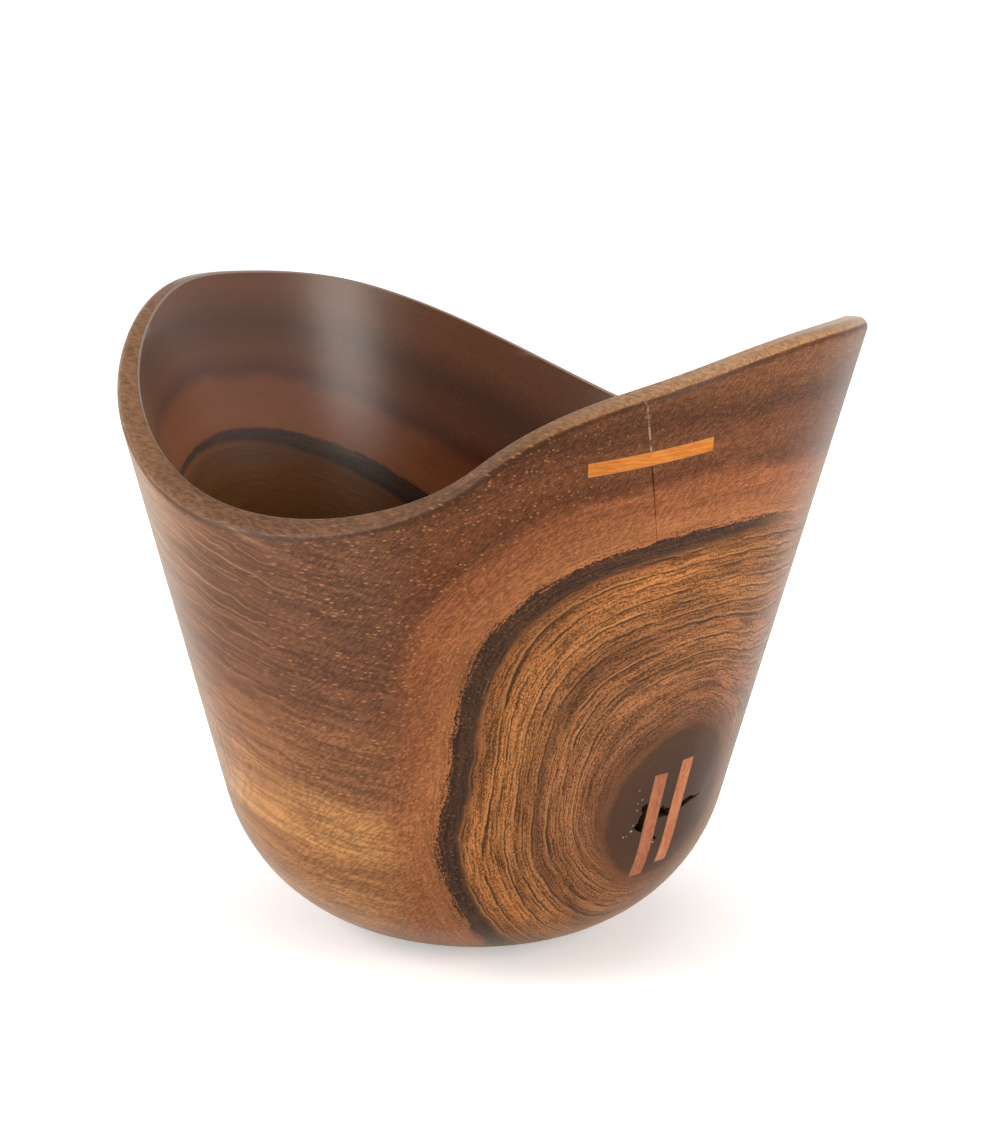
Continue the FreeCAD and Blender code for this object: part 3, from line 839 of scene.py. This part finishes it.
def aimed(obj, place, target, roll=0.0):
    """Puts a camera or a light at place, looking at target."""
    obj.location = place
    turn = (target - place).to_track_quat("-Z", "Y").to_matrix().to_4x4()
    obj.rotation_euler = (turn @ Matrix.Rotation(roll, 4, "Z")).to_euler()
    scene.collection.objects.link(obj)


def place_camera():
    data = bpy.data.cameras.new("camera")
    data.sensor_width = SENSOR_WIDTH
    data.lens = LENS_LENGTH
    camera = bpy.data.objects.new("camera", data)
    back = CAMERA_DISTANCE * math.cos(CAMERA_TILT)
    height = AIM.z + CAMERA_DISTANCE * math.sin(CAMERA_TILT)
    aimed(camera, Vector((0.0, -back, height)), AIM, CAMERA_ROLL)
    scene.camera = camera


def place_softbox(name, direction, distance, size, power, colour=(1.0, 1.0, 1.0)):
    data = bpy.data.lights.new(name, "AREA")
    data.shape = "RECTANGLE"
    data.size, data.size_y = size
    data.energy = power
    data.color = colour
    light = bpy.data.objects.new(name, data)
    aimed(light, LIT_POINT + Vector(direction).normalized() * distance, LIT_POINT)


def light_tent():
    """White studio sweep: bright to the sides and above, darker on the camera's side."""
    world = bpy.data.worlds.new("light_tent")
    scene.world = world
    world.use_nodes = True
    wiring = Wiring(world.node_tree)
    background = world.node_tree.nodes["Background"]
    heading = wiring.node("ShaderNodeTexCoord").outputs["Generated"]
    _, y, z = wiring.split(heading)
    towards_back = wiring.ease(y, -0.85, -0.10, 0.15, 1.0)
    overhead = wiring.ease(z, 0.0, 0.8, 1.0, 0.45)
    strength = wiring.product(towards_back, overhead, 0.76)
    seen = wiring.node("ShaderNodeLightPath").outputs["Is Camera Ray"]
    background.inputs["Color"].default_value = WHITE
    wiring.feed(background.inputs["Strength"], wiring.math("MAXIMUM", seen, strength))


def white_paper():
    """Paper sweep that glows for camera rays only, so the glow shows on it but doesn't reach the cup; the
    glow is weaker near the cup, a painted shadow round its foot.
    """
    material, wiring, shader, coordinates = new_material("white_paper_sweep")
    fibre = wiring.noise(coordinates["Object"], scale=900.0, detail=2.0)
    wiring.feed(shader.inputs["Base Color"], wiring.blend(fibre, (0.93, 0.925, 0.92), (0.97, 0.965, 0.96)))
    shader.inputs["Roughness"].default_value = 0.9
    shader.inputs["Specular IOR Level"].default_value = 0.2
    shader.inputs["Emission Color"].default_value = WHITE
    from_cup = wiring.vector("LENGTH", coordinates["Object"])
    # Painted shadow: the floor's glow is weaker near the cup.
    glow_with_painted_shadow = wiring.ease(from_cup, 0.020, 0.075, 0.40, 0.80)
    seen = wiring.node("ShaderNodeLightPath").outputs["Is Camera Ray"]
    wiring.feed(shader.inputs["Emission Strength"], wiring.product(seen, glow_with_painted_shadow))
    return material


def lay_floor():
    mesh = bpy.data.meshes.new("floor")
    corners = [(x * FLOOR_REACH, y * FLOOR_REACH, 0.0) for x, y in ((-1, -1), (1, -1), (1, 1), (-1, 1))]
    mesh.from_pydata(corners, [], [(0, 1, 2, 3)])
    mesh.materials.append(white_paper())
    floor = bpy.data.objects.new("floor", mesh)
    scene.collection.objects.link(floor)


place_camera()
light_tent()
lay_floor()
place_softbox("softbox_right", (0.77, -0.60, 0.26), 0.55, (0.18, 0.40), 1.9, (1.0, 0.94, 0.87))
place_softbox("softbox_left", (-0.85, -0.20, 0.30), 0.60, (0.30, 0.50), 3.0)
place_softbox("softbox_top", (0.10, 0.10, 1.0), 0.70, (0.60, 0.60), 1.2)
scene.view_settings.view_transform = "Standard"
